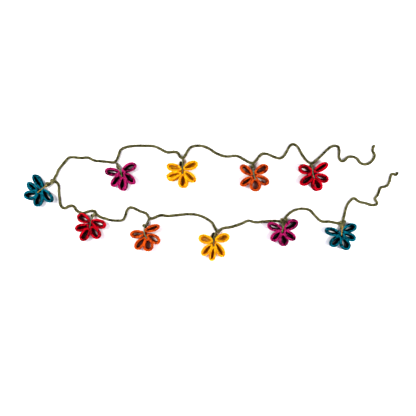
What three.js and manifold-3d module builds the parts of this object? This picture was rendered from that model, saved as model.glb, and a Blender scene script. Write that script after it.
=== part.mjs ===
// Crochet garland: ten five-petal flowers on one wavy olive vine, laid out in a sideways U.
// Millimetres, +Z up. The underside lies on z = 0 and the origin is below the middle of the whole.

import * as THREE from 'three';
import { mergeVertices } from 'three/addons/utils/BufferGeometryUtils.js';
import Module from 'manifold-3d';

const wasm = await Module();
wasm.setup();

// Driving dimensions
const GAP = 0.3; // room between two sewn pieces
const VINE_WIDTH = 3.8;
const VINE_HEIGHT = 3.6;
const BAND = 3.2; // thickness of the crochet band that stands on edge as a petal
const PETAL_HEIGHT = 9; // of the band at a petal's outer tip
const ROOT_HEIGHT = 7.4; // of the band where the petals meet
const PETAL_POINTS = 16; // round one petal
const TEARDROP = 0.5; // a petal's outline: 0 is an oval, 1 comes to a sharp point at the root
const LEAST_WELL = 0.2; // a petal's well starts where it is open by this much to either side
const OVERCUT = 1; // how far a well's cut runs past the band, above and below
const STEM_HEIGHT = 3.4; // thickness of a stem's strand and of its leaves
const STEM_RISE = 3.6; // how far a stem climbs from the vine to the flower's top edge
const STEM_CORNER = 1; // the stem's corners at the flower are cut off by this much
const LEAF_SEGMENTS = 6;
const THREAD_WIDTH = 1.7;
const THREAD_STEPS = 4;
const YARN_SIDES = 8; // of the vine's and the threads' section
const WELD = 1e-4; // corners of a shape that lie closer together than this are one corner

// Yarn colours
const OLIVE = 0x6b6730;
const TEAL = 0x00697d;
const MAGENTA = 0xcd1973;
const YELLOW = 0xffc30a;
const ORANGE = 0xeb550a;
const RED = 0xdc0019;
const GREEN_THREAD = 0x5f825a;
const TAN_THREAD = 0xa5873c;

// The vine's middle line, x and y, from the upper free end round the U to the lower free end
const VINE_ROUTE = [
  // Upper free end to the upper red flower
  [228.5, 79.5], [226.5, 77], [225.5, 71.5], [228.5, 66], [226, 59], [219.5, 53.5], [213, 52.5],
  [207.5, 55.5], [203.5, 61], [196, 63.5], [190.5, 62.5], [186, 57.5], [181.5, 57], [178.5, 63],
  [179, 70.5], [177.5, 77.5], [171, 78.5], [165, 75.5], [155, 66], [147.5, 59], [142, 54.5],
  // Upper red to upper orange
  [137, 55], [130.5, 61], [125, 69.5], [120.5, 77.5], [114.5, 81], [110, 78.5], [105, 70],
  [99.5, 62.5], [94.5, 61], [86.5, 63.5], [78.5, 67], [72, 67.5], [67.5, 64.5], [62.5, 58], [58, 54],
  // Upper orange to upper yellow
  [53, 55.5], [43, 61], [36, 64.5], [21.5, 63.5], [14.5, 65], [6, 68.5], [-2, 74], [-7.5, 76.5],
  [-14.5, 78.5], [-25, 78], [-30.5, 75], [-35, 68], [-38.5, 62.5],
  // Upper yellow to upper magenta
  [-41.5, 61.5], [-44.4, 64.3], [-45.6, 67.5], [-49.5, 70], [-62, 69.5], [-72, 74.5],
  [-80.5, 78], [-94.5, 78.5], [-107, 78.5], [-120, 76.5], [-127, 72.5], [-130, 64], [-132.8, 58],
  // Upper magenta to left teal
  [-136.5, 55.3], [-144, 56], [-154.5, 57], [-164, 58], [-172, 62], [-182.5, 61.5],
  [-192.5, 62.5], [-199, 62], [-207, 53.5], [-214, 44.5], [-216.5, 38], [-219.5, 32.5],
  // Left teal to lower red
  [-218.5, 28.8], [-214.5, 26], [-213, 20], [-213, 15], [-212, 4], [-210.5, -5], [-206, -9],
  [-197, -5], [-192.5, -6], [-187.5, -12.5], [-179, -15.5], [-173, -13.5], [-167, -12],
  [-163, -12.5], [-161, -16.5],
  // Lower red to lower orange
  [-156, -20.5], [-148.5, -23], [-139.5, -25.5], [-130.5, -26], [-123.5, -25], [-120, -18.5],
  [-118, -11.5], [-113.5, -7.5], [-107.5, -9], [-99.5, -13], [-91, -16], [-86, -23],
  // Lower orange to lower yellow
  [-81, -22.5], [-71, -18.5], [-61, -19.5], [-44, -18], [-31, -17], [-17.5, -18.5], [-7, -23],
  [1.5, -29.5], [5.5, -36.5], [8, -41],
  // Lower yellow to lower magenta
  [11.5, -40.5], [14.5, -37.5], [19, -36], [25, -35.5], [36, -32.5], [44, -29.5], [52, -26],
  [61.5, -28.5], [71, -27.5], [84, -26.5], [92, -26.5], [99, -27.5],
  // Lower magenta to right teal
  [104, -21.5], [109.5, -15.5], [117.5, -11], [130, -9.5], [138, -11.5], [144.5, -18.5],
  [154, -27], [166, -27.5], [173, -29], [182, -29.5],
  // Right teal to the lower free end
  [185, -22.5], [187, -14], [189, -6.5], [194, 1.5], [199.5, 5.5], [207, 0], [215.5, -1.5],
  [222.5, -4], [230.5, -4], [232, -0.5], [228.5, 4.5], [232.5, 9.5], [235, 16.5], [236.5, 20],
  [245.5, 22.5], [249.5, 30], [251.5, 38], [254.5, 39.5], [258.3, 37.5], [260.5, 41.7],
];

// The ten flowers. All x and y below a centre are measured from it.
// petals: root x, root y, tip x, tip y and width over the band, all along the top edge,
// and where the petal leans, how far its foot lies from its top edge in x and y
// stem: x and y at the vine, width there, x and y at the flower, width there
// leaves: the middle of each small leaf, x and y, its length along the stem and its width
// thread: the sewing thread's points, x and y, from the stem over the flower's middle
const FLOWERS = [
  {
    name: 'teal_left', yarn: TEAL, threadYarn: TAN_THREAD, centre: [-240.3, 14],
    petals: [
      [4.6, 4.5, -6.8, 24, 9.6, 1.2, 0.6], [-0.6, 2, -15, 13.5, 8.5, -3, -3.5],
      [-2.2, -2.5, -19.9, -5.5, 12, 0, -1.5], [3, -2, -3, -20.3, 12.3], [5.5, 3, 18.3, -14, 11.8],
    ],
    stem: [21.8, 16.4, 4.4, 9.3, 7.3, 3.8], leaves: [[10.7, 11.7, 7.5, 4.4], [17.2, 16.4, 6, 4.2]],
    thread: [[11.8, 9.3], [4.3, 3.4], [-0.8, -0.9]],
  },
  {
    name: 'magenta_upper', yarn: MAGENTA, threadYarn: GREEN_THREAD, centre: [-124.5, 38.2],
    petals: [
      [1.2, 5.3, 19.8, 14, 12], [-3.2, 2.6, -23.3, 4.6, 11.4], [-2.2, -1, -13.8, -16.5, 10.2],
      [1.2, -4, -0.2, -22.3, 11, 2.5, -1], [3.2, 2, 17.9, -12.8, 10.8],
    ],
    stem: [-8, 16.4, 3.2, -2.7, 6.5, 2.8], leaves: [[-7, 10.6, 6.5, 2.8]],
    thread: [[-2.7, 7.1], [-1, 2.5], [0.4, -3.1]],
  },
  {
    name: 'yellow_upper', yarn: YELLOW, threadYarn: GREEN_THREAD, centre: [-40, 42.2],
    petals: [
      [1.8, 4.5, 21.1, 12, 12], [-2, 3.5, -22, 7.9, 11.2], [-3, -1, -22.5, -7.5, 9.5, 1.5, -4],
      [0, -4, -0.5, -23, 12.5, 3, 0], [2.5, 0, 18, -14, 11],
    ],
    stem: [0.7, 17.8, 3.4, 0.7, 7.6, 2.8], leaves: [[-2.8, 11.4, 8, 4.6]],
    thread: [[0.4, 8.9], [0.1, 3], [0.1, -3.1]],
  },
  {
    name: 'orange_upper', yarn: ORANGE, threadYarn: GREEN_THREAD, centre: [59.6, 35.3],
    petals: [
      [1.6, 5, 18.9, 14.6, 12.5], [-3.2, 2.7, -19, 15.3, 11.2], [-3, -1, -19, -12.5, 10],
      [0.5, -4, 2.8, -20.6, 15.5], [2, 0, 20.3, -9.8, 12],
    ],
    stem: [-1, 18.4, 3.4, -0.7, 8.7, 2.8], leaves: [[-3.2, 14, 6.5, 2.8]],
    thread: [[-1.4, 11.6], [-0.7, 3.6], [1.3, -4.2]],
  },
  {
    name: 'red_upper', yarn: RED, threadYarn: GREEN_THREAD, centre: [142.2, 38.3],
    petals: [
      [1, 3.5, 19.5, 15.5, 10], [-2.5, 3, -20.6, 10.6, 13], [-1.5, -1.5, -17.8, -14, 12],
      [2, -6, 9, -21.8, 12.5, -2.6, -1.5], [2.5, -1.5, 20.3, -8.3, 12],
    ],
    stem: [-1.7, 15.3, 3.4, -1.4, 6.7, 2.8], leaves: [[-3.8, 11.2, 6.5, 2.8]],
    thread: [[-1.7, 9.5], [-1.4, 2.5], [0.7, -5.3]],
  },
  {
    name: 'red_lower', yarn: RED, threadYarn: GREEN_THREAD, centre: [-168.5, -32.3],
    petals: [
      [-1.5, 5, -17.3, 13.8, 12.6], [-2.5, -1, -20.6, -5.5, 10.5], [-2, -4.5, -12, -21.5, 12],
      [1.7, -2.5, 12.3, -18.2, 13], [2.2, 5.4, 21.7, -1.3, 12.6],
    ],
    stem: [6.2, 18.6, 3.4, 2.4, 9.7, 2.8], leaves: [[1.5, 13.3, 5.5, 4.2]],
    thread: [[3.8, 11.6], [1, 6.5], [0.3, 0.7], [-0.6, -3.8]],
  },
  {
    name: 'orange_lower', yarn: ORANGE, threadYarn: GREEN_THREAD, centre: [-91, -47.2],
    petals: [
      [-1.5, 7, 19.2, 13.9, 9.6], [-3, 3.3, -21.8, 1.8, 11.2], [-1.5, -2.5, -14.3, -18.2, 11.5],
      [2.5, -5, 4.1, -21.4, 14.5], [2, 1.7, 19.4, -9.2, 12],
    ],
    stem: [4.2, 23.1, 3.6, -1.3, 10.7, 3], leaves: [[-3.2, 14.4, 5.4, 4.8]],
    thread: [[-2, 12.8], [-2.2, 4.4], [1.4, -3.4]],
  },
  {
    name: 'yellow_lower', yarn: YELLOW, threadYarn: GREEN_THREAD, centre: [4, -57.7],
    petals: [
      [2, 5, 21.3, 10.4, 12.5], [-2.5, 3.5, -21.5, 8.5, 12.5], [-3.5, -1.3, -17, -16.3, 10.6],
      [-0.6, -5, -4, -24.4, 9.6], [2, 0.8, 13, -18.3, 11.5],
    ],
    stem: [3, 15.4, 3.6, -0.1, 6.4, 2.8], leaves: [[-1.7, 11.4, 8.8, 4.6]],
    thread: [[0.1, 8.3], [-0.8, 2.3], [0, -3.4]],
  },
  {
    name: 'magenta_lower', yarn: MAGENTA, threadYarn: GREEN_THREAD, centre: [99.4, -40.3],
    petals: [
      [2.8, 1.8, 20.6, 13.7, 12.4, -0.8, 1], [-1.6, 2, -21.3, 8.9, 11.6],
      [-3, -1, -15.9, -13.5, 11.2], [0, -4, 2.8, -20.5, 12.5, -1.2, -1.5], [2, -0.5, 17, -12, 11],
    ],
    stem: [2.2, 14.6, 9, 0.6, 5.2, 3], leaves: [[-0.8, 15.7, 6, 4.4], [5.6, 15.9, 6, 4.4]],
    thread: [[0.7, 7.1], [0, 2.8], [-1.4, -1.9]],
  },
  {
    name: 'teal_right', yarn: TEAL, threadYarn: TAN_THREAD, centre: [181.4, -46.7],
    petals: [
      [2, 6.5, 20.1, 14, 12], [-2, 2.2, -23.2, 8, 11.2], [-2.5, -2, -15.6, -14.6, 11.8],
      [0, -4, 8.8, -19.5, 13.5], [2, 2.5, 18.9, -5.2, 11],
    ],
    stem: [1.6, 18.1, 8.6, 0.2, 8.3, 4], leaves: [[5.2, 19, 6, 4]],
    thread: [[1.2, 12.9], [-0.1, 6.9], [-0.6, -0.2]],
  },
];

// Turns a closed three.js geometry into a solid that can be joined and cut
function toSolid(geometry) {
  const plain = geometry.clone();
  plain.deleteAttribute('normal');
  plain.deleteAttribute('uv');
  const merged = mergeVertices(plain, WELD);
  return new wasm.Manifold(new wasm.Mesh({
    numProp: 3,
    vertProperties: new Float32Array(merged.attributes.position.array),
    triVerts: new Uint32Array(merged.index.array),
  }));
}

// Turns the largest body of a solid back into a geometry
function toGeometry(solid) {
  const bodies = solid.decompose().sort((a, b) => b.volume() - a.volume());
  const mesh = bodies[0].getMesh();
  const geometry = new THREE.BufferGeometry();
  geometry.setAttribute('position', new THREE.BufferAttribute(mesh.vertProperties, 3));
  geometry.setIndex(new THREE.BufferAttribute(mesh.triVerts, 1));
  geometry.computeVertexNormals();
  return geometry;
}

function addMesh(parent, name, solid, colour) {
  const material = new THREE.MeshStandardMaterial({ color: colour, roughness: 0.9, metalness: 0 });
  const mesh = new THREE.Mesh(toGeometry(solid), material);
  mesh.name = name;
  parent.add(mesh);
}

// A yarn's section with a flat side down. Its first axis points down along the sweep.
function cordSection(width, height) {
  const section = new THREE.Shape();
  const toCorner = 1 / Math.cos(Math.PI / YARN_SIDES);
  for (let i = 0; i < YARN_SIDES; i += 1) {
    const angle = (i + 0.5) * 2 * Math.PI / YARN_SIDES;
    const down = Math.cos(angle) * toCorner * height / 2;
    const across = Math.sin(angle) * toCorner * width / 2;
    if (i === 0) {
      section.moveTo(down, across);
    } else {
      section.lineTo(down, across);
    }
  }
  return section;
}

// A smooth path whose steps follow its own points, so that they are short where it bends tightly
class RoutePath extends THREE.CatmullRomCurve3 {
  getUtoTmapping(u) {
    return u;
  }
}

// The vine is one crocheted cord that lies on its flat side. grow makes it fatter all round.
function vineSolid(grow) {
  const points = VINE_ROUTE.map(([x, y]) => new THREE.Vector3(x, y, VINE_HEIGHT / 2));
  const path = new RoutePath(points, false, 'centripetal');
  const section = cordSection(VINE_WIDTH + 2 * grow, VINE_HEIGHT + 2 * grow);
  return toSolid(new THREE.ExtrudeGeometry(section, {
    steps: points.length - 1,
    extrudePath: path,
  }));
}

// Outline of one petal at a distance from its middle line: a teardrop, pointed at the root
function teardrop(petal, offset) {
  const [rootX, rootY, tipX, tipY, width] = petal;
  const along = new THREE.Vector2(tipX - rootX, tipY - rootY);
  const length = along.length() - BAND / 2;
  along.normalize();
  const across = new THREE.Vector2(-along.y, along.x);
  const widest = (1 + TEARDROP) / (2 + TEARDROP); // where along the petal
  const swell = (width - BAND) / 4 / Math.sqrt(widest * (1 - widest)) / widest ** (TEARDROP / 2);
  const points = [];
  for (let i = 0; i < PETAL_POINTS; i += 1) {
    const t = (i + 0.5) / PETAL_POINTS * 2 * Math.PI;
    const u = length * (1 - Math.cos(t)) / 2;
    const narrow = Math.sin(t / 2) ** TEARDROP;
    const v = swell * Math.sin(t) * narrow;
    const du = length * Math.sin(t) / 2;
    const dv = swell * narrow * (Math.cos(t) + TEARDROP * Math.cos(t / 2) ** 2);
    const slope = Math.hypot(du, dv);
    const outU = u - offset * dv / slope;
    const outV = v + offset * du / slope;
    const side = Math.sign(v);
    if (offset > 0 || outV * side > LEAST_WELL) {
      points.push(new THREE.Vector2(
        rootX + along.x * outU + across.x * outV,
        rootY + along.y * outU + across.y * outV,
      ));
    }
  }
  return points;
}

// A petal's standing solid, between below and the band's top edge, which rises from root to tip
function petalSolid(petal, offset, below, above) {
  const [rootX, rootY, tipX, tipY, , footX = 0, footY = 0] = petal;
  const axis = new THREE.Vector2(tipX - rootX, tipY - rootY);
  const reach = axis.length();
  const geometry = new THREE.ExtrudeGeometry(new THREE.Shape(teardrop(petal, offset)), {
    depth: 1,
    bevelEnabled: false,
  });
  const place = geometry.attributes.position;
  for (let i = 0; i < place.count; i += 1) {
    const x = place.getX(i);
    const y = place.getY(i);
    const share = ((x - rootX) * axis.x + (y - rootY) * axis.y) / reach / reach;
    const top = ROOT_HEIGHT + (PETAL_HEIGHT - ROOT_HEIGHT) * THREE.MathUtils.clamp(share, 0, 1);
    const z = place.getZ(i) > 0.5 ? top + above : -below;
    const lean = 1 - z / top;
    place.setXYZ(i, x + footX * lean, y + footY * lean, z);
  }
  return toSolid(geometry);
}

// The closed end of a band, from the flower's centre to just past the petal's root
function neckSolid([rootX, rootY]) {
  const reach = Math.hypot(rootX, rootY);
  const neck = new THREE.BoxGeometry(reach + BAND / 2, BAND, ROOT_HEIGHT);
  neck.translate((reach + BAND / 2) / 2, 0, ROOT_HEIGHT / 2);
  neck.rotateZ(Math.atan2(rootY, rootX));
  return toSolid(neck);
}

// A flower is crocheted in one: five looped bands on edge, joined where their necks meet
function flowerSolid(flower) {
  const bands = flower.petals.map((petal) => {
    const well = petalSolid(petal, -BAND / 2, OVERCUT, OVERCUT);
    return petalSolid(petal, BAND / 2, 0, 0).subtract(well);
  });
  const necks = flower.petals.map(neckSolid);
  return [...bands, ...necks].reduce((joined, piece) => joined.add(piece));
}

// How far above its start at the vine a flower's stem has climbed at a point beside it
function stemClimb({ stem }, x, y) {
  const [vineX, vineY, , flowerX, flowerY] = stem;
  const along = new THREE.Vector2(flowerX - vineX, flowerY - vineY);
  const gone = along.dot(new THREE.Vector2(x - vineX, y - vineY)) / along.length() - VINE_WIDTH;
  return STEM_RISE * THREE.MathUtils.clamp(gone / (along.length() - VINE_WIDTH), 0, 1);
}

// A stem is a strand of the vine's yarn. It lies flat beside the vine and climbs to the flower's
// top edge, and its small looped leaves lie flat beside it. grow makes both fatter all round, and
// above carries their tops further up, to cut the room they take out of the flower.
function stemSolid(flower, grow, above) {
  const [vineX, vineY, vineWidth, flowerX, flowerY, flowerWidth] = flower.stem;
  const along = new THREE.Vector2(flowerX - vineX, flowerY - vineY);
  const reach = along.length();
  along.normalize();
  const across = new THREE.Vector2(-along.y, along.x);
  const bendWidth = vineWidth + (flowerWidth - vineWidth) * VINE_WIDTH / reach;
  const edge = [
    [-grow, vineWidth / 2], [VINE_WIDTH, bendWidth / 2],
    [reach + grow - STEM_CORNER, flowerWidth / 2], [reach + grow, flowerWidth / 4],
  ];
  const otherEdge = edge.map(([forward, sideways]) => [forward, -sideways]).reverse();
  const outline = [...edge, ...otherEdge].map(([forward, sideways]) => {
    const spread = sideways + Math.sign(sideways) * grow;
    return new THREE.Vector2(vineX, vineY)
      .addScaledVector(along, forward)
      .addScaledVector(across, spread);
  });
  const strand = new THREE.ExtrudeGeometry(new THREE.Shape(outline), {
    depth: 1,
    bevelEnabled: false,
  });
  const place = strand.attributes.position;
  for (let i = 0; i < place.count; i += 1) {
    const climb = stemClimb(flower, place.getX(i), place.getY(i));
    place.setZ(i, climb + (place.getZ(i) > 0.5 ? STEM_HEIGHT + grow + above : -grow));
  }
  let solid = toSolid(strand);
  for (const [x, y, length, width] of flower.leaves) {
    const oval = new THREE.Shape();
    oval.absellipse(x, y, length / 2 + grow, width / 2 + grow, 0, 2 * Math.PI, false, along.angle());
    const leaf = new THREE.ExtrudeGeometry(oval, {
      depth: STEM_HEIGHT + 2 * grow + above,
      bevelEnabled: false,
      curveSegments: LEAF_SEGMENTS,
    });
    leaf.translate(0, 0, -grow);
    solid = solid.add(toSolid(leaf));
  }
  return solid;
}

// The thread starts on the stem, climbs over the band and ends in the flower's middle
function threadSolid(flower, grow) {
  const low = stemClimb(flower, ...flower.thread[0]) + STEM_HEIGHT + THREAD_WIDTH / 2;
  const high = ROOT_HEIGHT + THREAD_WIDTH / 4;
  const last = flower.thread.length - 1;
  const points = flower.thread.map(([x, y], i) => {
    const share = Math.min(1, i / last * 2);
    return new THREE.Vector3(x, y, low + (high - low) * share);
  });
  const path = new THREE.CatmullRomCurve3(points, false, 'centripetal');
  const section = cordSection(THREAD_WIDTH + 2 * grow, THREAD_WIDTH + 2 * grow);
  return toSolid(new THREE.ExtrudeGeometry(section, { steps: THREAD_STEPS, extrudePath: path }));
}

// Assembly: each flower in a group of its own at its place on the vine
const garland = new THREE.Group();
addMesh(garland, 'vine', vineSolid(0), OLIVE);
for (const flower of FLOWERS) {
  const [x, y] = flower.centre;
  const group = new THREE.Group();
  group.position.set(x, y, 0);
  const fatVine = vineSolid(GAP).translate([-x, -y, 0]);
  const fatThread = threadSolid(flower, GAP);
  const stemRoom = stemSolid(flower, GAP, PETAL_HEIGHT);
  const blossom = flowerSolid(flower).subtract(stemRoom).subtract(fatThread);
  const stem = stemSolid(flower, 0, 0).subtract(fatVine).subtract(fatThread);
  addMesh(group, `flower_${flower.name}`, blossom.subtract(fatVine), flower.yarn);
  addMesh(group, `stem_${flower.name}`, stem, OLIVE);
  addMesh(group, `thread_${flower.name}`, threadSolid(flower, 0), flower.threadYarn);
  garland.add(group);
}

export default garland;
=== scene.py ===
import bpy
import numpy as np
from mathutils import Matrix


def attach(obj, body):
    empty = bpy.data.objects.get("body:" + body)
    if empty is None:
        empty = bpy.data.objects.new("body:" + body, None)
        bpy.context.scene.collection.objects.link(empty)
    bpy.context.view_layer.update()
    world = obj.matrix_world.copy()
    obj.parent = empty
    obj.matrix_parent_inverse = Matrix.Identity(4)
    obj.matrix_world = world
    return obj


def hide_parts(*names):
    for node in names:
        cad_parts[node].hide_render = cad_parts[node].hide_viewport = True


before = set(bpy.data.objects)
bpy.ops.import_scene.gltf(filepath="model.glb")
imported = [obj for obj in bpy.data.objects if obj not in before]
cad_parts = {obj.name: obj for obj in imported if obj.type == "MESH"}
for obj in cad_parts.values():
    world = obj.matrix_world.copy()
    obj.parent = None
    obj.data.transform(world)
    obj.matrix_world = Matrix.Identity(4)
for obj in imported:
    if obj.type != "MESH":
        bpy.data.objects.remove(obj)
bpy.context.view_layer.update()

# Camera
# The photo looks straight down on the garland from about arm's height, and the garland fills its
# middle band with white above and below.
CAMERA_HEIGHT = 0.8
VIEW_WIDTH = 0.5829  # of the surface, from edge to edge of the photo
VIEW_MIDDLE = (-0.0046, -0.0084)

bpy.ops.object.camera_add(location=(*VIEW_MIDDLE, CAMERA_HEIGHT), rotation=(0, 0, 0))
camera = bpy.context.object
camera.name = "camera"
camera.data.lens = camera.data.sensor_width * CAMERA_HEIGHT / VIEW_WIDTH
bpy.context.scene.camera = camera

# White surface
# The garland lies on a plain white table top, which the light takes up to full white.
TABLE_SIZE = 12

bpy.ops.mesh.primitive_plane_add(size=TABLE_SIZE, location=(0, 0, 0))
table_top = bpy.context.object
table_top.name = "table_top"
table_paint = bpy.data.materials.new("white_paint")
table_paint.use_nodes = True
table_shader = table_paint.node_tree.nodes["Principled BSDF"]
table_shader.inputs["Base Color"].default_value = (0.9, 0.9, 0.9, 1)
table_shader.inputs["Roughness"].default_value = 0.9
table_shader.inputs["Specular IOR Level"].default_value = 0.1
table_top.data.materials.append(table_paint)

# Studio light
# Two soft lamps stand on the left and on the right, so that each flower throws a short shadow away
# from its nearer lamp. White walls all round fill the shadows, and it is dark overhead.
LAMPS = {
    "left_lamp": (-0.50, 0.10, 0.45),
    "right_lamp": (0.50, -0.10, 0.45),
}
LAMP_SIZE = 0.22
LAMP_POWER = 3.2
LAMP_COLOUR = (1, 0.98, 0.95)
WALL_COLOUR = (0.89, 0.87, 1, 1)
WALL_STRENGTH = 2.4
WALL_TOP = 0.35  # sine of the height at which the walls start to darken
OVERHEAD = 0.035  # share of the walls' light that is left straight above


for lamp_name, lamp_place in LAMPS.items():
    bpy.ops.object.light_add(type="AREA", location=lamp_place)
    lamp = bpy.context.object
    lamp.name = lamp_name
    lamp.data.shape = "DISK"
    lamp.data.size = LAMP_SIZE
    lamp.data.energy = LAMP_POWER
    lamp.data.color = LAMP_COLOUR
    lamp.visible_camera = False
    lamp.rotation_euler = lamp.location.to_track_quat("Z", "Y").to_euler()

room = bpy.data.worlds.new("white_room")
room.use_nodes = True
backdrop = room.node_tree.nodes["Background"]
direction = room.node_tree.nodes.new("ShaderNodeTexCoord")
height = room.node_tree.nodes.new("ShaderNodeSeparateXYZ")
fade = room.node_tree.nodes.new("ShaderNodeMapRange")
fade.interpolation_type = "SMOOTHSTEP"
fade.inputs["From Min"].default_value = WALL_TOP
fade.inputs["From Max"].default_value = WALL_TOP + 0.3
fade.inputs["To Min"].default_value = WALL_STRENGTH
fade.inputs["To Max"].default_value = WALL_STRENGTH * OVERHEAD
room.node_tree.links.new(direction.outputs["Generated"], height.inputs["Vector"])
room.node_tree.links.new(height.outputs["Z"], fade.inputs["Value"])
room.node_tree.links.new(fade.outputs["Result"], backdrop.inputs["Strength"])
backdrop.inputs["Color"].default_value = WALL_COLOUR
bpy.context.scene.world = room
bpy.context.scene.view_settings.view_transform = "Standard"
bpy.context.scene.view_settings.look = "High Contrast"

# Vine
# One cord of olive green cotton, about 1.2 m long: a chain crocheted back over itself, so that rows
# of small V stitches run along it on all sides. It lies loose, and its two ends are bare.
STITCH = 0.0021  # length of one stitch, everywhere on the garland
VINE_WIDTH = 0.0038
VINE_MIDDLE = 0.00175  # height of its middle line over the surface
VINE_ROWS = 6  # legs of stitches round the cord, two for each row of V stitches
VINE_CORE = 0.0024
CORE_SHADE = -1.6  # painted shade: a core is seen deep between its stitches, and is painted darker than them
FLECK_LIGHT = 0.6  # most stitches are a little lighter than their tone
FLECK_DARK = 2.4  # and a few are up to this much darker than those
PLY_TURNS = (7.9, 18.85, 0)  # radians of the plies' twist per millimetre and per turn round a yarn
FIBRE_SCALE = 2600
DYE_SCALE = 240
VINE_ROUTE = [
    # Upper free end to the upper red flower
    (0.2285, 0.0795), (0.2265, 0.077), (0.2255, 0.0715), (0.2285, 0.066), (0.226, 0.059),
    (0.2195, 0.0535), (0.213, 0.0525), (0.2075, 0.0555), (0.2035, 0.061), (0.196, 0.0635),
    (0.1905, 0.0625), (0.186, 0.0575), (0.1815, 0.057), (0.1785, 0.063), (0.179, 0.0705),
    (0.1775, 0.0775), (0.171, 0.0785), (0.165, 0.0755), (0.155, 0.066), (0.1475, 0.059),
    (0.142, 0.0545),
    # Upper red to upper orange
    (0.137, 0.055), (0.1305, 0.061), (0.125, 0.0695), (0.1205, 0.0775), (0.1145, 0.081),
    (0.11, 0.0785), (0.105, 0.07), (0.0995, 0.0625), (0.0945, 0.061), (0.0865, 0.0635),
    (0.0785, 0.067), (0.072, 0.0675), (0.0675, 0.0645), (0.0625, 0.058), (0.058, 0.054),
    # Upper orange to upper yellow
    (0.053, 0.0555), (0.043, 0.061), (0.036, 0.0645), (0.0215, 0.0635), (0.0145, 0.065),
    (0.006, 0.0685), (-0.002, 0.074), (-0.0075, 0.0765), (-0.0145, 0.0785), (-0.025, 0.078),
    (-0.0305, 0.075), (-0.035, 0.068), (-0.0385, 0.0625),
    # Upper yellow to upper magenta
    (-0.0415, 0.0615), (-0.0444, 0.0643), (-0.0456, 0.0675), (-0.0495, 0.07), (-0.062, 0.0695),
    (-0.072, 0.0745), (-0.0805, 0.078), (-0.0945, 0.0785), (-0.107, 0.0785), (-0.12, 0.0765),
    (-0.127, 0.0725), (-0.13, 0.064), (-0.1328, 0.058),
    # Upper magenta to left teal
    (-0.1365, 0.0553), (-0.144, 0.056), (-0.1545, 0.057), (-0.164, 0.058), (-0.172, 0.062),
    (-0.1825, 0.0615), (-0.1925, 0.0625), (-0.199, 0.062), (-0.207, 0.0535), (-0.214, 0.0445),
    (-0.2165, 0.038), (-0.2195, 0.0325),
    # Left teal to lower red
    (-0.2185, 0.0288), (-0.2145, 0.026), (-0.213, 0.02), (-0.213, 0.015), (-0.212, 0.004),
    (-0.2105, -0.005), (-0.206, -0.009), (-0.197, -0.005), (-0.1925, -0.006), (-0.1875, -0.0125),
    (-0.179, -0.0155), (-0.173, -0.0135), (-0.167, -0.012), (-0.163, -0.0125), (-0.161, -0.0165),
    # Lower red to lower orange
    (-0.156, -0.0205), (-0.1485, -0.023), (-0.1395, -0.0255), (-0.1305, -0.026), (-0.1235, -0.025),
    (-0.12, -0.0185), (-0.118, -0.0115), (-0.1135, -0.0075), (-0.1075, -0.009), (-0.0995, -0.013),
    (-0.091, -0.016), (-0.086, -0.023),
    # Lower orange to lower yellow
    (-0.081, -0.0225), (-0.071, -0.0185), (-0.061, -0.0195), (-0.044, -0.018), (-0.031, -0.017),
    (-0.0175, -0.0185), (-0.007, -0.023), (0.0015, -0.0295), (0.0055, -0.0365), (0.008, -0.041),
    # Lower yellow to lower magenta
    (0.0115, -0.0405), (0.0145, -0.0375), (0.019, -0.036), (0.025, -0.0355), (0.036, -0.0325),
    (0.044, -0.0295), (0.052, -0.026), (0.0615, -0.0285), (0.071, -0.0275), (0.084, -0.0265),
    (0.092, -0.0265), (0.099, -0.0275),
    # Lower magenta to right teal
    (0.104, -0.0215), (0.1095, -0.0155), (0.1175, -0.011), (0.13, -0.0095), (0.138, -0.0115),
    (0.1445, -0.0185), (0.154, -0.027), (0.166, -0.0275), (0.173, -0.029), (0.182, -0.0295),
    # Right teal to the lower free end
    (0.185, -0.0225), (0.187, -0.014), (0.189, -0.0065), (0.194, 0.0015), (0.1995, 0.0055),
    (0.207, 0.0), (0.2155, -0.0015), (0.2225, -0.004), (0.2305, -0.004), (0.232, -0.0005),
    (0.2285, 0.0045), (0.2325, 0.0095), (0.235, 0.0165), (0.2365, 0.02), (0.2455, 0.0225),
    (0.2495, 0.03), (0.2515, 0.038), (0.2545, 0.0395), (0.2583, 0.0375), (0.2605, 0.0417),
]


def smooth(points, steps):
    """A curve through the points, with so many steps from each one to the next."""
    points = np.array(points, float)
    before, after = 2 * points[0] - points[1], 2 * points[-1] - points[-2]
    points = np.vstack([before, points, after])
    knots = np.append(0, np.cumsum(np.linalg.norm(np.diff(points, axis=0), axis=1) ** 0.5))
    curve = []
    for i in range(1, len(points) - 2):
        t = np.linspace(knots[i], knots[i + 1], steps, endpoint=False)[:, None]
        k0, k1, k2, k3 = knots[i - 1:i + 3]
        p0, p1, p2, p3 = points[i - 1:i + 3]
        a = ((k1 - t) * p0 + (t - k0) * p1) / (k1 - k0)
        b = ((k2 - t) * p1 + (t - k1) * p2) / (k2 - k1)
        c = ((k3 - t) * p2 + (t - k2) * p3) / (k3 - k2)
        ab = ((k2 - t) * a + (t - k0) * b) / (k2 - k0)
        bc = ((k3 - t) * b + (t - k1) * c) / (k3 - k1)
        curve.append(((k2 - t) * ab + (t - k1) * bc) / (k2 - k1))
    return np.vstack(curve + [points[-2:-1]])


def measure(points, closed=False):
    """A line on the surface: its points, the length up to each and the direction to its left."""
    if closed:
        points = np.vstack([points, points[:1]])
    lengths = np.append(0, np.cumsum(np.linalg.norm(np.diff(points, axis=0), axis=1)))
    run = np.gradient(points, lengths, axis=0)
    if closed:
        run[0] = run[-1] = run[0] + run[-1]
    left = np.stack([-run[:, 1], run[:, 0]], axis=1)
    left /= np.linalg.norm(left, axis=1, keepdims=True)
    return {"points": points, "lengths": lengths, "left": left, "closed": closed}


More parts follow.
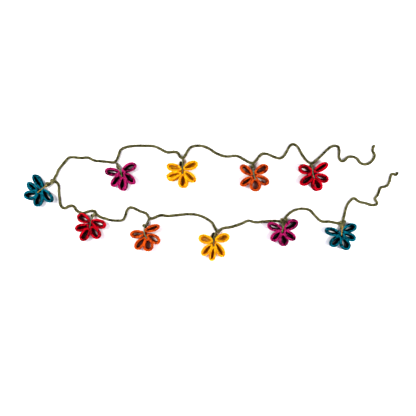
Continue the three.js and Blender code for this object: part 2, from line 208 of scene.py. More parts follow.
def place(line, length, left, up):
    """Points at these lengths along a line, so far to its left and so high over the surface."""
    total = line["lengths"][-1]
    length = np.mod(length, total) if line["closed"] else np.clip(length, 0, total)
    x, y, left_x, left_y = [
        np.interp(length, line["lengths"], values)
        for values in (*line["points"].T, *line["left"].T)
    ]
    return np.stack([x + left_x * left, y + left_y * left, up + 0 * x], axis=-1)


def rings(centres, radius, sides):
    """Rings round the points of one or more lines, as wide as the radius at each point."""
    along = np.gradient(centres, axis=1)
    along /= np.linalg.norm(along, axis=2, keepdims=True) + 1e-12
    middle = centres[:, centres.shape[1] // 2] - (centres[:, 0] + centres[:, -1]) / 2
    middle = middle + np.array([0, 0, 1e-5])
    out = middle[:, None] - along * np.sum(middle[:, None] * along, axis=2, keepdims=True)
    out /= np.linalg.norm(out, axis=2, keepdims=True) + 1e-12
    across = np.cross(along, out)
    turn = np.arange(sides) * 2 * np.pi / sides
    ring = out[:, :, None] * np.cos(turn)[:, None] + across[:, :, None] * np.sin(turn)[:, None]
    return centres[:, :, None] + ring * np.broadcast_to(radius, centres.shape[:2])[..., None, None]


def legs(start, middle, end, thickness, steps=5, sides=5, slim=0.62):
    """Legs of stitches: each a short bent length of yarn that thins where it dives under."""
    t = np.linspace(0, 1, steps)[:, None]
    bent = [a[:, None] for a in (start, middle, end)]
    centres = bent[0] * (1 - t) ** 2 + bent[1] * 2 * t * (1 - t) + bent[2] * t ** 2
    radius = thickness / 2 * (slim + (1 - slim) * np.sin(np.pi * t[:, 0]))
    uneven = 1 + 0.07 * chance.standard_normal(len(start))
    return rings(centres, radius * uneven[:, None], sides)


def yarn_piece(name, tubes, material):
    """One object made of many lengths of yarn, closed at their ends: for each set of like lengths
    its tone, from dark to light, and the rings of points round each length. Many tones are painted
    shade or painted highlight. The map "yarn" holds millimetres along the yarn and turns round it,
    and "shade" is the tone, uneven by length."""
    points, shades, corners, sizes, maps = [], [], [], [], []
    used = 0
    for tone, tube in tubes:
        count, steps, sides = tube.shape[:3]
        index = used + np.arange(count * steps * sides).reshape(count, steps, sides)
        used += index.size
        beside = np.roll(index, -1, axis=2)
        centre = tube.mean(axis=2)
        run = np.cumsum(np.linalg.norm(np.diff(centre, axis=1), axis=2), axis=1) * 1000
        run = np.concatenate([np.zeros((count, 1)), run], axis=1)
        run = np.broadcast_to(run[:, :, None], index.shape)
        turn = np.broadcast_to(np.arange(sides) / sides, index.shape)
        walls = np.stack([index[:, :-1], beside[:, :-1], beside[:, 1:], index[:, 1:]], axis=-1)
        wall_run = np.stack([run[:, :-1], run[:, :-1], run[:, 1:], run[:, 1:]], axis=-1)
        low, high = turn[:, 1:], turn[:, 1:] + 1 / sides
        wall_turn = np.stack([low, high, high, low], axis=-1)
        ends = np.concatenate([index[:, 0, ::-1], index[:, -1]])
        end_run = np.concatenate([run[:, 0, ::-1], run[:, -1]])
        end_turn = np.concatenate([turn[:, 0, ::-1], turn[:, -1]])
        points.append(tube.reshape(-1, 3))
        flecks = FLECK_LIGHT - FLECK_DARK * chance.uniform(0, 1, count) ** 3
        shades.append(np.repeat(tone + flecks, steps * sides))
        corners += [walls.ravel(), ends.ravel()]
        sizes += [np.full(walls[..., 0].size, 4), np.full(len(ends), sides)]
        maps.append(np.stack([wall_run.ravel(), wall_turn.ravel()], axis=1))
        maps.append(np.stack([end_run.ravel(), end_turn.ravel()], axis=1))
    points = np.vstack(points)
    points[:, 2] = np.maximum(points[:, 2], 0.00002)
    corners, sizes = np.concatenate(corners), np.concatenate(sizes)
    mesh = bpy.data.meshes.new(name)
    mesh.vertices.add(len(points))
    mesh.vertices.foreach_set("co", points.ravel())
    mesh.loops.add(len(corners))
    mesh.loops.foreach_set("vertex_index", corners.astype(np.int32))
    mesh.polygons.add(len(sizes))
    mesh.polygons.foreach_set("loop_start", (np.cumsum(sizes) - sizes).astype(np.int32))
    mesh.polygons.foreach_set("loop_total", sizes.astype(np.int32))
    mesh.polygons.foreach_set("use_smooth", np.ones(len(sizes), bool))
    mesh.uv_layers.new(name="yarn").uv.foreach_set("vector", np.vstack(maps).ravel())
    mesh.attributes.new("shade", "FLOAT", "POINT").data.foreach_set("value", np.concatenate(shades))
    mesh.update()
    mesh.validate()
    mesh.materials.append(material)
    piece = bpy.data.objects.new(name, mesh)
    bpy.context.scene.collection.objects.link(piece)
    return piece


def yarn_finish(name, deep, light):
    """Matte cotton yarn: three plies twisted together, loose fibres, and uneven dye, mixed from deep
    to light by each stitch's tone, which also carries painted shade and highlight.
    """
    material = bpy.data.materials.new(name)
    material.use_nodes = True
    nodes, link = material.node_tree.nodes, material.node_tree.links.new
    shader = nodes["Principled BSDF"]
    shader.inputs["Roughness"].default_value = 0.88
    shader.inputs["Specular IOR Level"].default_value = 0.04
    shader.inputs["Sheen Weight"].default_value = 0.03
    shader.inputs["Sheen Roughness"].default_value = 0.5
    yarn_map = nodes.new("ShaderNodeUVMap")
    yarn_map.uv_map = "yarn"
    plies = nodes.new("ShaderNodeVectorMath")
    plies.operation = "DOT_PRODUCT"
    plies.inputs[1].default_value = PLY_TURNS
    ply_wave = nodes.new("ShaderNodeMath")
    ply_wave.operation = "SINE"
    link(yarn_map.outputs["UV"], plies.inputs[0])
    link(plies.outputs["Value"], ply_wave.inputs[0])
    place_on_piece = nodes.new("ShaderNodeTexCoord")
    fibres = nodes.new("ShaderNodeTexNoise")
    fibres.inputs["Scale"].default_value = FIBRE_SCALE
    fibres.inputs["Detail"].default_value = 3
    dye = nodes.new("ShaderNodeTexNoise")
    dye.inputs["Scale"].default_value = DYE_SCALE
    dye.inputs["Detail"].default_value = 2
    link(place_on_piece.outputs["Object"], fibres.inputs["Vector"])
    link(place_on_piece.outputs["Object"], dye.inputs["Vector"])
    stitch_shade = nodes.new("ShaderNodeAttribute")
    stitch_shade.attribute_name = "shade"
    from_dye = nodes.new("ShaderNodeMath")
    from_dye.operation = "MULTIPLY_ADD"
    from_dye.inputs[1].default_value = 1.1
    from_dye.inputs[2].default_value = 0.05
    link(dye.outputs["Fac"], from_dye.inputs[0])
    with_plies = nodes.new("ShaderNodeMath")
    with_plies.operation = "MULTIPLY_ADD"
    with_plies.inputs[1].default_value = 0.12
    link(ply_wave.outputs["Value"], with_plies.inputs[0])
    link(from_dye.outputs["Value"], with_plies.inputs[2])
    with_stitches = nodes.new("ShaderNodeMath")
    with_stitches.operation = "MULTIPLY_ADD"
    with_stitches.use_clamp = True
    with_stitches.inputs[1].default_value = 0.5
    link(stitch_shade.outputs["Fac"], with_stitches.inputs[0])
    link(with_plies.outputs["Value"], with_stitches.inputs[2])
    colour = nodes.new("ShaderNodeMix")
    colour.data_type = "RGBA"
    colour.inputs["A"].default_value = (*deep, 1)
    colour.inputs["B"].default_value = (*light, 1)
    link(with_stitches.outputs["Value"], colour.inputs["Factor"])
    link(colour.outputs["Result"], shader.inputs["Base Color"])
    relief = nodes.new("ShaderNodeMath")
    relief.operation = "MULTIPLY_ADD"
    relief.inputs[1].default_value = 0.5
    link(ply_wave.outputs["Value"], relief.inputs[0])
    link(fibres.outputs["Fac"], relief.inputs[2])
    bump = nodes.new("ShaderNodeBump")
    bump.inputs["Strength"].default_value = 0.7
    bump.inputs["Distance"].default_value = 0.0001
    link(relief.outputs["Value"], bump.inputs["Height"])
    link(bump.outputs["Normal"], shader.inputs["Normal"])
    return material


def cord_stitches(line, width, middle, core, rows, roll, climb=None, tone=0.0):
    """A round crocheted cord along a line: a core and legs of stitches that slant in turn.
    climb says how far the cord has risen above its middle height at each length."""
    total = line["lengths"][-1]
    count = max(2, round(total / STITCH))
    pitch = total / count
    starts = np.arange(count) * pitch
    thick = width * 0.34
    wide, flat = width / 2 - thick / 2, width * 0.36

    def height_at(length):
        return middle + (climb(length) if climb else 0)

    def on_cord(length, turn):
        lean = roll(length)
        side = wide * np.cos(turn) * np.cos(lean) - flat * np.sin(turn) * np.sin(lean)
        rise = wide * np.cos(turn) * np.sin(lean) + flat * np.sin(turn) * np.cos(lean)
        return place(line, length, side, height_at(length) + rise)

    tubes = []
    for row in range(rows):
        turn = 2 * np.pi * (row + 0.5) / rows
        slant = 0.3 * (-1) ** row
        wobble = 0.1 * chance.standard_normal((3, count))
        start = on_cord(starts - 0.1 * pitch, turn - slant + wobble[0])
        mid = on_cord(starts + 0.7 * pitch, turn + wobble[1])
        end = on_cord(starts + 1.4 * pitch, turn + slant + wobble[2])
        bow = mid - place(line, starts + 0.7 * pitch, 0, height_at(starts + 0.7 * pitch))
        start = start + 0.25 * (place(line, starts, 0, height_at(starts)) - start)
        end_length = starts + 1.3 * pitch
        end = end + 0.25 * (place(line, end_length, 0, height_at(end_length)) - end)
        tubes.append((tone, legs(start, mid + 0.3 * bow, end, thick * 1.08)))
    inner = np.linspace(0, total, max(8, int(total / 0.003)))
    # the core is painted dark, as the shade between the stitches
    tubes.append((CORE_SHADE, rings(place(line, inner, 0, height_at(inner))[None], core / 2, 8)))
    return tubes


def lazy_roll(length):
    """How far the flat cord has turned about its own line, which makes it look thin and wide."""
    return 13 * length + 0.9 * np.sin(length / 0.021) + 0.6 * np.sin(length / 0.0083 + 1)


chance = np.random.default_rng(11)
olive_yarn = yarn_finish("olive_cotton", (0.026, 0.025, 0.010), (0.150, 0.146, 0.068))
vine_line = measure(smooth(VINE_ROUTE, 6))
vine = yarn_piece(
    "vine_cord",
    cord_stitches(vine_line, VINE_WIDTH, VINE_MIDDLE, VINE_CORE, VINE_ROWS, lazy_roll),
    olive_yarn,
)
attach(vine, "root")
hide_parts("vine")

# Flowers
# Each flower is one strip of cotton crochet that stands on its edge and runs out and back five
# times, so that it makes five open teardrop petals. The petals' roots are drawn together.
BAND = 0.0032  # thickness of the strip
PETAL_TIP = 0.009  # height of the strip at a petal's tip
PETAL_ROOT = 0.0074  # and at its root
TEARDROP = 0.5  # shape of a petal: 0 is an oval, 1 comes to a sharp point at the root
PETAL_POINTS = 96  # points of the strip's middle line round a petal
WALL_ROWS = 3
RIM_YARN = 0.0014  # thickness of the V stitches on the top edge
RIM_INWARD = 0.0006  # how far they reach from the strip's middle line, into the petal
RIM_OUTWARD = 0.00155  # and outward
WALL_YARN = 0.00115  # the V stitches on the outer wall
WALL_OUTWARD = 0.00138
WELL_YARN = 0.0016  # the flat stitches on the inner wall
FOOT_YARN = 0.00135  # and along the bottom edge
LOOSE = 0.0001  # how unevenly the stitches lie
STRIP_CORE = 0.0016  # thickness of the strip under its stitches
STRIP_FOOT = 0.0004  # height at which it starts
STRIP_DROP = 0.0011  # how far below the top edge it ends
ROOT_SLIM = 0.75  # share of the strip's thickness that it has at a petal's root
RIM_HIGHLIGHT = 0.3  # painted highlight on the strip's top edge; its outer walls, bottom edge and drawn-in root are painted darker as shade
OUTER_SHADE = -0.5
NECK_SHADE = -1.5
NECK_SLIM = 0.55
NECK_HEIGHT = 0.0062
NECK_CORE = 0.002
NECK_CORE_HEIGHT = 0.0036
FLOWER_CENTRES = {
    "teal_left": (-0.2403, 0.014),
    "magenta_upper": (-0.1245, 0.0382),
    "yellow_upper": (-0.04, 0.0422),
    "orange_upper": (0.0596, 0.0353),
    "red_upper": (0.1422, 0.0383),
    "red_lower": (-0.1685, -0.0323),
    "orange_lower": (-0.091, -0.0472),
    "yellow_lower": (0.004, -0.0577),
    "magenta_lower": (0.0994, -0.0403),
    "teal_right": (0.1814, -0.0467),
}
# root x and y, tip x and y, width over the strip, and where the foot lies from the top, x and y
PETALS = {
    "teal_left": [
        (0.0046, 0.0045, -0.0068, 0.024, 0.0096, 0.0012, 0.0006),
        (-0.0006, 0.002, -0.015, 0.0135, 0.0085, -0.003, -0.0035),
        (-0.0022, -0.0025, -0.0199, -0.0055, 0.012, 0.0, -0.0015),
        (0.003, -0.002, -0.003, -0.0203, 0.0123, 0.0, 0.0),
        (0.0055, 0.003, 0.0183, -0.014, 0.0118, 0.0, 0.0),
    ],
    "magenta_upper": [
        (0.0012, 0.0053, 0.0198, 0.014, 0.012, 0.0, 0.0),
        (-0.0032, 0.0026, -0.0233, 0.0046, 0.0114, 0.0, 0.0),
        (-0.0022, -0.001, -0.0138, -0.0165, 0.0102, 0.0, 0.0),
        (0.0012, -0.004, -0.0002, -0.0223, 0.011, 0.0025, -0.001),
        (0.0032, 0.002, 0.0179, -0.0128, 0.0108, 0.0, 0.0),
    ],
    "yellow_upper": [
        (0.0018, 0.0045, 0.0211, 0.012, 0.012, 0.0, 0.0),
        (-0.002, 0.0035, -0.022, 0.0079, 0.0112, 0.0, 0.0),
        (-0.003, -0.001, -0.0225, -0.0075, 0.0095, 0.0015, -0.004),
        (0.0, -0.004, -0.0005, -0.023, 0.0125, 0.003, 0.0),
        (0.0025, 0.0, 0.018, -0.014, 0.011, 0.0, 0.0),
    ],
    "orange_upper": [
        (0.0016, 0.005, 0.0189, 0.0146, 0.0125, 0.0, 0.0),
        (-0.0032, 0.0027, -0.019, 0.0153, 0.0112, 0.0, 0.0),
        (-0.003, -0.001, -0.019, -0.0125, 0.01, 0.0, 0.0),
        (0.0005, -0.004, 0.0028, -0.0206, 0.0155, 0.0, 0.0),
        (0.002, 0.0, 0.0203, -0.0098, 0.012, 0.0, 0.0),
    ],
    "red_upper": [
        (0.001, 0.0035, 0.0195, 0.0155, 0.01, 0.0, 0.0),
        (-0.0025, 0.003, -0.0206, 0.0106, 0.013, 0.0, 0.0),
        (-0.0015, -0.0015, -0.0178, -0.014, 0.012, 0.0, 0.0),
        (0.002, -0.006, 0.009, -0.0218, 0.0125, -0.0026, -0.0015),
        (0.0025, -0.0015, 0.0203, -0.0083, 0.012, 0.0, 0.0),
    ],
    "red_lower": [
        (-0.0015, 0.005, -0.0173, 0.0138, 0.0126, 0.0, 0.0),
        (-0.0025, -0.001, -0.0206, -0.0055, 0.0105, 0.0, 0.0),
        (-0.002, -0.0045, -0.012, -0.0215, 0.012, 0.0, 0.0),
        (0.0017, -0.0025, 0.0123, -0.0182, 0.013, 0.0, 0.0),
        (0.0022, 0.0054, 0.0217, -0.0013, 0.0126, 0.0, 0.0),
    ],
    "orange_lower": [
        (-0.0015, 0.007, 0.0192, 0.0139, 0.0096, 0.0, 0.0),
        (-0.003, 0.0033, -0.0218, 0.0018, 0.0112, 0.0, 0.0),
        (-0.0015, -0.0025, -0.0143, -0.0182, 0.0115, 0.0, 0.0),
        (0.0025, -0.005, 0.0041, -0.0214, 0.0145, 0.0, 0.0),
        (0.002, 0.0017, 0.0194, -0.0092, 0.012, 0.0, 0.0),
    ],
    "yellow_lower": [
        (0.002, 0.005, 0.0213, 0.0104, 0.0125, 0.0, 0.0),
        (-0.0025, 0.0035, -0.0215, 0.0085, 0.0125, 0.0, 0.0),
        (-0.0035, -0.0013, -0.017, -0.0163, 0.0106, 0.0, 0.0),
        (-0.0006, -0.005, -0.004, -0.0244, 0.0096, 0.0, 0.0),
        (0.002, 0.0008, 0.013, -0.0183, 0.0115, 0.0, 0.0),
    ],
    "magenta_lower": [
        (0.0028, 0.0018, 0.0206, 0.0137, 0.0124, -0.0008, 0.001),
        (-0.0016, 0.002, -0.0213, 0.0089, 0.0116, 0.0, 0.0),
        (-0.003, -0.001, -0.0159, -0.0135, 0.0112, 0.0, 0.0),
        (0.0, -0.004, 0.0028, -0.0205, 0.0125, -0.0012, -0.0015),
        (0.002, -0.0005, 0.017, -0.012, 0.011, 0.0, 0.0),
    ],
    "teal_right": [
        (0.002, 0.0065, 0.0201, 0.014, 0.012, 0.0, 0.0),
        (-0.002, 0.0022, -0.0232, 0.008, 0.0112, 0.0, 0.0),
        (-0.0025, -0.002, -0.0156, -0.0146, 0.0118, 0.0, 0.0),
        (0.0, -0.004, 0.0088, -0.0195, 0.0135, 0.0, 0.0),
        (0.002, 0.0025, 0.0189, -0.0052, 0.011, 0.0, 0.0),
    ],
}
# deep and light shade of each dye, between which each stitch's tone is mixed, so that the deep one
# is also the painted shade in grooves and wells, for yellow a brown-orange of painted reflected light;
# the painted shade of the walls inside a petal; and how far these run inward from their top row to
# their foot
DYES = {
    "teal": ((0.000, 0.006, 0.010), (0.001, 0.182, 0.236), -1.8, 0.0021),
    "magenta": ((0.026, 0.001, 0.009), (0.470, 0.028, 0.172), -1.8, 0.0021),
    "yellow": ((0.600, 0.210, 0.012), (0.780, 0.480, 0.012), -0.1, 0.0031),
    "orange": ((0.200, 0.022, 0.010), (0.620, 0.128, 0.016), -0.5, 0.0016),
    "red": ((0.070, 0.001, 0.006), (0.590, 0.004, 0.026), -1.2, 0.0024),
}


def petal_line(root, tip, width):
    """The strip's middle line round one petal, a teardrop from its root over its tip and back."""
    reach = tip - root
    length = np.linalg.norm(reach) - BAND / 2
    reach = reach / np.linalg.norm(reach)
    beside = np.array([-reach[1], reach[0]])
    widest = (1 + TEARDROP) / (2 + TEARDROP)
    swell = (width - BAND) / 4 / np.sqrt(widest * (1 - widest)) / widest ** (TEARDROP / 2)
    t = np.arange(PETAL_POINTS) / PETAL_POINTS * 2 * np.pi
    u = length * (1 - np.cos(t)) / 2
    v = swell * np.sin(t) * np.sin(t / 2) ** TEARDROP
    return measure(root + u[:, None] * reach + v[:, None] * beside, closed=True)


def strip_stitches(line, top_at, slim_at, rim_highlight_or_shade, inner_shade=0.0, slope=0.0, inside=None):
    """Stitches over a strip that stands on a line: V stitches on its top edge, a plain bottom edge
    and its two sides. slim_at says how much of its full width the strip has at each length, inside
    at which stitches the right-hand side faces into an open petal, and slope how far it runs in."""
    total = line["lengths"][-1]
    count = max(2, round(total / STITCH))
    pitch = total / count
    at = np.arange(count) * pitch

    def on_strip(length, left, up_from_foot=0.0, share=0.0):
        return place(line, length, left * slim_at(length), top_at(length) * share + up_from_foot)

    def loose():
        return LOOSE * chance.standard_normal(count)

    tubes = []
    # the top edge's stitches are painted lighter as highlight; the bottom edge, the outer walls and
    # the walls inside a petal are painted darker as shade
    for side in (1, -1):
        into_well = side == -1 and inside is not None
        edge = side * (RIM_INWARD if into_well else RIM_OUTWARD)
        tubes.append((rim_highlight_or_shade, legs(
            on_strip(at + loose(), side * 0.0002, -0.0009 + loose(), 1),
            on_strip(at + 0.5 * pitch, edge + loose(), 0.0011 + loose(), 1),
            on_strip(at + 1.1 * pitch, edge, -0.0017, 1),
            RIM_YARN, slim=0.3,
        )))
        tubes.append((OUTER_SHADE, legs(
            on_strip(at, side * 0.0003, 0.0012),
            on_strip(at + 0.8 * pitch, side * 0.0013, 0.0003),
            on_strip(at + 1.6 * pitch, side * 0.0003, 0.0014),
            FOOT_YARN, 4, 4,
        )))
        for row in range(WALL_ROWS):
            low, high = (row + 0.15) / WALL_ROWS, (row + 1.2) / WALL_ROWS
            shift = 0.5 * (row % 2)
            if into_well:
                open_at = at[inside(at)]
                inward = side * slope * (1 - row / (WALL_ROWS - 1))
                up = (low + high) * 0.4
                # painted shade on the walls inside a petal
                tubes.append((inner_shade, legs(
                    on_strip(open_at + 0.05 * pitch, side * 0.0002 + inward, 0.0002, up),
                    on_strip(open_at + 0.5 * pitch, side * 0.0008 + inward, 0.0005, up),
                    on_strip(open_at + 0.95 * pitch, side * 0.0002 + inward, 0.0002, up),
                    WELL_YARN, 4, 4,
                )))
                continue
            for way in (1, -1):
                mid = at + (0.5 + shift) * pitch
                tubes.append((OUTER_SHADE, legs(
                    on_strip(mid, side * 0.0007, 0.0006, low * 0.8),
                    on_strip(mid + way * 0.32 * pitch, side * (WALL_OUTWARD + loose()), 0.0006,
                             (low + high) / 2 * 0.8),
                    on_strip(mid + way * 0.5 * pitch, side * 0.0008, 0.0006, high * 0.8),
                    WALL_YARN, 4, 5,
                )))
    return tubes


def standing_core(line, heights, foot):
    """The strip under its stitches: a ring drawn to the line, pulled up and given its thickness."""
    bpy.ops.object.select_all(action="DESELECT")
    outline = line["points"][:-1:2]
    bpy.ops.mesh.primitive_circle_add(vertices=len(outline), radius=0.01)
    core = bpy.context.object
    for vertex, (x, y) in zip(core.data.vertices, outline):
        vertex.co = (x, y, STRIP_FOOT)
    bpy.ops.object.mode_set(mode="EDIT")
    bpy.ops.mesh.select_all(action="SELECT")
    bpy.ops.mesh.extrude_region_move(TRANSFORM_OT_translate={"value": (0, 0, 0.005)})
    bpy.ops.object.mode_set(mode="OBJECT")
    for vertex, height in zip(core.data.vertices[len(outline):], heights[:-1:2]):
        vertex.co.z = height
    for vertex in core.data.vertices:
        lean = 1 - vertex.co.z / heights.max()
        vertex.co.x += foot[0] * lean
        vertex.co.y += foot[1] * lean
    wall = core.modifiers.new("thickness", "SOLIDIFY")
    wall.thickness = STRIP_CORE
    wall.offset = 0
    bpy.ops.object.modifier_apply(modifier="thickness")
    bpy.ops.object.mode_set(mode="EDIT")
    bpy.ops.mesh.select_all(action="SELECT")
    bpy.ops.mesh.normals_make_consistent(inside=False)
    bpy.ops.object.mode_set(mode="OBJECT")
    # painted shade: the strip is painted dark, as the shade between its stitches
    tone = core.data.attributes.new("shade", "FLOAT", "POINT")
    tone.data.foreach_set("value", np.full(len(core.data.vertices), CORE_SHADE))
    return core


yarn_dyes = {dye: yarn_finish(dye + "_cotton", deep, light) for dye, (deep, light, *_) in DYES.items()}
for number, (flower, centre) in enumerate(FLOWER_CENTRES.items()):
    chance = np.random.default_rng(100 + number)
    centre = np.array(centre)
    dye = flower.split("_")[0]
    inner_shade, slope = DYES[dye][2:]
    tubes, cores = [], []
    for root_x, root_y, tip_x, tip_y, width, foot_x, foot_y in PETALS[flower]:
        root, tip = np.array([root_x, root_y]), np.array([tip_x, tip_y])
        reach = tip - root
        line = petal_line(root, tip, width)
        share = np.clip((line["points"] - root) @ reach / (reach @ reach), 0, 1)
        heights = PETAL_ROOT + (PETAL_TIP - PETAL_ROOT) * share
        opening = np.abs((line["points"] - root) @ [-reach[1], reach[0]]) / np.linalg.norm(reach)

        def top_at(length, line=line, heights=heights):
            return np.interp(np.mod(length, line["lengths"][-1]), line["lengths"], heights)

        def inside(length, line=line, opening=opening, share=share):
            clear = (opening > BAND / 2) | (share > 0.8)
            return np.interp(length, line["lengths"], clear.astype(float)) > 0.5

        def slim_at(length, line=line, share=share):
            share_there = np.interp(np.mod(length, line["lengths"][-1]), line["lengths"], share)
            return ROOT_SLIM + (1 - ROOT_SLIM) * np.clip(2 * share_there, 0, 1)

        petal_tubes = strip_stitches(line, top_at, slim_at, RIM_HIGHLIGHT, inner_shade, slope, inside)
        for _, tube in petal_tubes:
            lean = 1 - tube[..., 2:] / PETAL_TIP
            tube[..., :2] += lean * [foot_x, foot_y]
            tube[..., :2] += centre
        tubes += petal_tubes
        core = standing_core(line, heights - STRIP_DROP, (foot_x, foot_y))
        for vertex in core.data.vertices:
            vertex.co.x += centre[0]
            vertex.co.y += centre[1]
        cores.append(core)
        neck = root + reach / np.linalg.norm(reach) * BAND / 2
        neck_line = measure(np.linspace([0, 0], neck, 8) + centre)
        tubes += strip_stitches(
            neck_line, lambda length: NECK_HEIGHT + 0 * length, lambda length: NECK_SLIM, NECK_SHADE,
        )
        # the neck's core is painted dark, as shade
        neck_core = place(neck_line, np.linspace(0, np.linalg.norm(neck), 4), 0, NECK_CORE_HEIGHT)
        tubes.append((CORE_SHADE, rings(neck_core[None], NECK_CORE / 2, 6)))
    petals = yarn_piece("petals_" + flower, tubes, yarn_dyes[dye])
    for core in cores:
        core.data.materials.clear()
        core.data.materials.append(yarn_dyes[dye])
    bpy.ops.object.select_all(action="DESELECT")
    for core in cores:
        core.select_set(True)
    petals.select_set(True)
    bpy.context.view_layer.objects.active = petals
    bpy.ops.object.join()
    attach(petals, "root")
    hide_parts("flower_" + flower)

# Stems and leaves
# Under each corner of the vine a short stem is worked in olive cotton, coloured lighter than the vine:
# cords of chain side by side that climb to the flower's top edge, with one or two small looped leaves
# that lie low.
STEM_CHAIN = 0.0023  # width of one cord of chain at most
STEM_MIDDLE = 0.0018
STEM_RISE = 0.0036  # how far a stem climbs from the vine to the flower
STEM_BOW = 0.0002  # how far its outer cords bend away from each other
LEAF_YARN = 0.0012
KNOT_YARN = 0.0019
# x and y at the vine, width there, x and y at the flower, width there
STEMS = {
    "teal_left": (0.0218, 0.0164, 0.0044, 0.0093, 0.0073, 0.0038),
    "magenta_upper": (-0.008, 0.0164, 0.0032, -0.0027, 0.0065, 0.0028),
    "yellow_upper": (0.0007, 0.0178, 0.0034, 0.0007, 0.0076, 0.0028),
    "orange_upper": (-0.001, 0.0184, 0.0034, -0.0007, 0.0087, 0.0028),
    "red_upper": (-0.0017, 0.0153, 0.0034, -0.0014, 0.0067, 0.0028),
    "red_lower": (0.0062, 0.0186, 0.0034, 0.0024, 0.0097, 0.0028),
    "orange_lower": (0.0042, 0.0231, 0.0036, -0.0013, 0.0107, 0.003),
    "yellow_lower": (0.003, 0.0154, 0.0036, -0.0001, 0.0064, 0.0028),
    "magenta_lower": (0.0022, 0.0146, 0.009, 0.0006, 0.0052, 0.003),
    "teal_right": (0.0016, 0.0181, 0.0086, 0.0002, 0.0083, 0.004),
}
# middle of each leaf, x and y, its length along the stem and its width
LEAVES = {
    "teal_left": [(0.0107, 0.0117, 0.0075, 0.0044), (0.0172, 0.0164, 0.006, 0.0042)],
    "magenta_upper": [(-0.007, 0.0106, 0.0065, 0.0028)],
    "yellow_upper": [(-0.0028, 0.0114, 0.008, 0.0046)],
    "orange_upper": [(-0.0032, 0.014, 0.0065, 0.0028)],
    "red_upper": [(-0.0038, 0.0112, 0.0065, 0.0028)],
    "red_lower": [(0.0015, 0.0133, 0.0055, 0.0042)],
    "orange_lower": [(-0.0032, 0.0144, 0.0054, 0.0048)],
    "yellow_lower": [(-0.0017, 0.0114, 0.0088, 0.0046)],
    "magenta_lower": [(-0.0008, 0.0157, 0.006, 0.0044), (0.0056, 0.0159, 0.006, 0.0044)],
    "teal_right": [(0.0052, 0.019, 0.006, 0.004)],
}
LEAVES["teal_right"].append((-0.0009, 0.0184, 0.005, 0.004))  # this one lies over the vine's edge
# the leaves of these flowers are open loops, painted nearly black inside as shade, and the others are
# drawn up into knots
OPEN_LEAVES = ("magenta_upper", "yellow_upper", "red_upper", "red_lower", "yellow_lower")
STEM_TONES = {"orange_upper": -0.7, "orange_lower": -0.9}  # these two are as dark as the vine


def stem_climb(stem, points):
    """How far above its start at the vine a stem has climbed at these points, seen from above."""
    vine_end = np.array(stem[0:2])
    run = np.array(stem[3:5]) - vine_end
    reach = np.linalg.norm(run)
    gone = (np.array(points) - vine_end) @ run / reach - VINE_WIDTH
    return STEM_RISE * np.clip(gone / (reach - VINE_WIDTH), 0, 1)


stem_yarn = yarn_finish("light_olive_cotton", (0.014, 0.013, 0.006), (0.300, 0.286, 0.145))
for number, (flower, stem) in enumerate(STEMS.items()):
    chance = np.random.default_rng(300 + number)
    centre = np.array(FLOWER_CENTRES[flower])
    vine_end, flower_end = np.array(stem[0:2]), np.array(stem[3:5])
    run = (flower_end - vine_end) / np.linalg.norm(flower_end - vine_end)
    beside = np.array([-run[1], run[0]])
    strands = max(2, round(stem[2] / STEM_CHAIN))
    strand = stem[2] / strands
    tubes = []
    for side in np.linspace(-1, 1, strands):
        start = vine_end + beside * side * (stem[2] - strand) / 2
        end = flower_end + beside * side * (stem[5] - strand) / 2
        bow = (start + end) / 2 + beside * side * STEM_BOW
        line = measure(smooth([start, bow, end], 8) + centre)
        climbs = stem_climb(stem, line["points"] - centre)

        def climb(length, line=line, climbs=climbs):
            return np.interp(length, line["lengths"], climbs)

        tubes += cord_stitches(
            line, strand, STEM_MIDDLE, strand * 0.6, 6, lambda length: 0.4 + 0 * length, climb,
            STEM_TONES.get(flower, 0.0),
        )
    for x, y, long, wide in LEAVES[flower]:
        middle = centre + [x, y]
        open_leaf = flower in OPEN_LEAVES
        yarn = LEAF_YARN if open_leaf else KNOT_YARN
        turn = np.arange(40) / 40 * 2 * np.pi
        ring = ((long - yarn) / 2 * np.cos(turn))[:, None] * run
        ring = ring + ((wide - yarn) / 2 * np.sin(turn))[:, None] * beside
        line = measure(middle + ring, closed=True)
        for height in (yarn * 0.5, yarn * 1.3):
            tubes += cord_stitches(line, yarn, height, yarn * 0.5, 5, lambda length: 0 * length)
        # a heart of yarn in each leaf: painted nearly black as shade in the open loops, and set a
        # little darker in the knots
        spine = middle + np.linspace(-1, 1, 6)[:, None] * (long / 2 - yarn) * run
        heart_shade = -3 if open_leaf else -0.5
        heart = np.column_stack([spine, np.full(len(spine), wide * 0.3)])
        tubes.append((heart_shade, rings(heart[None], wide * 0.3, 8)))
    stem_piece = yarn_piece("stem_stitches_" + flower, tubes, stem_yarn)
    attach(stem_piece, "root")
    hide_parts("stem_" + flower)

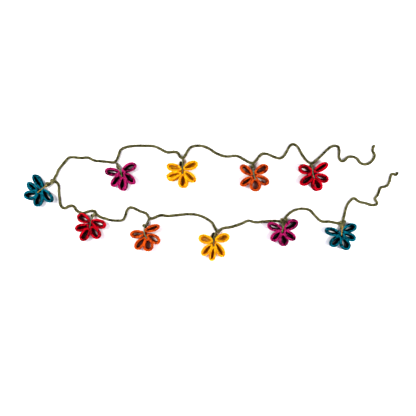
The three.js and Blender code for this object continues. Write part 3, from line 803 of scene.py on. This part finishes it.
# Sewing threads
# A doubled thread, green or grey-green on eight flowers and tan on the two teal ones, is sewn from
# the stem over the roots of the petals and ends in the flower's middle. Its two plies are twisted.
# On the right-hand teal flower a third strand joins it from the stem's edge.
THREAD_WIDTH = 0.0015
THREAD_ON_STEM = 0.00425  # height of its middle line over the foot of the stem
THREAD_HIGH = 0.00783  # and over the petals' roots
THREAD_TWIST = 0.0036  # length of one turn
PLY_TONE = 0.6  # one ply is lighter than the other
PLY_RADIUS = THREAD_WIDTH * 0.27
PLY_APART = THREAD_WIDTH * 0.24  # from the thread's middle line to a ply's
THIRD_STRAND = (0.0030, 0.0002)  # where it starts, from the start of the other two
THREADS = {
    "teal_left": [(0.0118, 0.0093), (0.0043, 0.0034), (-0.0008, -0.0009)],
    "magenta_upper": [(-0.0027, 0.0071), (-0.001, 0.0025), (0.0004, -0.0031)],
    "yellow_upper": [(0.0004, 0.0089), (0.0001, 0.003), (0.0001, -0.0031)],
    "orange_upper": [(-0.0014, 0.0116), (-0.0007, 0.0036), (0.0013, -0.0042)],
    "red_upper": [(-0.0017, 0.0095), (-0.0014, 0.0025), (0.0007, -0.0053)],
    "red_lower": [(0.0038, 0.0116), (0.001, 0.0065), (0.0003, 0.0007), (-0.0006, -0.0038)],
    "orange_lower": [(-0.002, 0.0128), (-0.0022, 0.0044), (0.0014, -0.0034)],
    "yellow_lower": [(0.0001, 0.0083), (-0.0008, 0.0023), (0.0, -0.0034)],
    "magenta_lower": [(0.0007, 0.0071), (0.0, 0.0028), (-0.0014, -0.0019)],
    "teal_right": [(0.0012, 0.0129), (-0.0001, 0.0069), (-0.0006, -0.0002)],
}

green_cotton = yarn_finish("green_thread_cotton", (0.080, 0.150, 0.040), (0.220, 0.330, 0.110))
pale_cotton = yarn_finish("pale_thread_cotton", (0.070, 0.100, 0.060), (0.190, 0.240, 0.150))
grey_cotton = yarn_finish("grey_thread_cotton", (0.030, 0.045, 0.030), (0.090, 0.125, 0.090))
tan_cotton = yarn_finish("tan_thread_cotton", (0.220, 0.120, 0.030), (0.520, 0.370, 0.120))
THREAD_DYES = {
    "teal": tan_cotton, "magenta": green_cotton, "yellow": grey_cotton, "orange": pale_cotton,
    "red": pale_cotton,
}
for number, (flower, points) in enumerate(THREADS.items()):
    chance = np.random.default_rng(500 + number)
    climb = np.minimum(1, np.arange(len(points)) / (len(points) - 1) * 2)
    thread_low = THREAD_ON_STEM + stem_climb(STEMS[flower], points[0])
    heights = thread_low + (THREAD_HIGH - thread_low) * climb
    route = np.column_stack([np.array(points) + FLOWER_CENTRES[flower], heights])
    route = smooth(route, 14)
    run = np.gradient(route, axis=0)
    run /= np.linalg.norm(run, axis=1, keepdims=True)
    left = np.cross([0, 0, 1], run)
    left /= np.linalg.norm(left, axis=1, keepdims=True)
    up = np.cross(run, left)
    gone = np.append(0, np.cumsum(np.linalg.norm(np.diff(route, axis=0), axis=1)))
    turn = (2 * np.pi * gone / THREAD_TWIST)[:, None]
    tubes = []
    for side in (1, -1):
        ply = route + side * PLY_APART * (np.cos(turn) * left + np.sin(turn) * up)
        tubes.append((side * PLY_TONE, rings(ply[None], PLY_RADIUS, 7)))
    if flower == "teal_right":
        joined = route[len(route) // 2]
        start = route[0] + [*THIRD_STRAND, 0]
        strand = smooth([start, (start + joined) / 2, joined], 8)
        tubes.append((0.0, rings(strand[None], PLY_RADIUS, 7)))
    dye = flower.split("_")[0]
    thread = yarn_piece("twisted_thread_" + flower, tubes, THREAD_DYES[dye])
    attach(thread, "root")
    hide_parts("thread_" + flower)
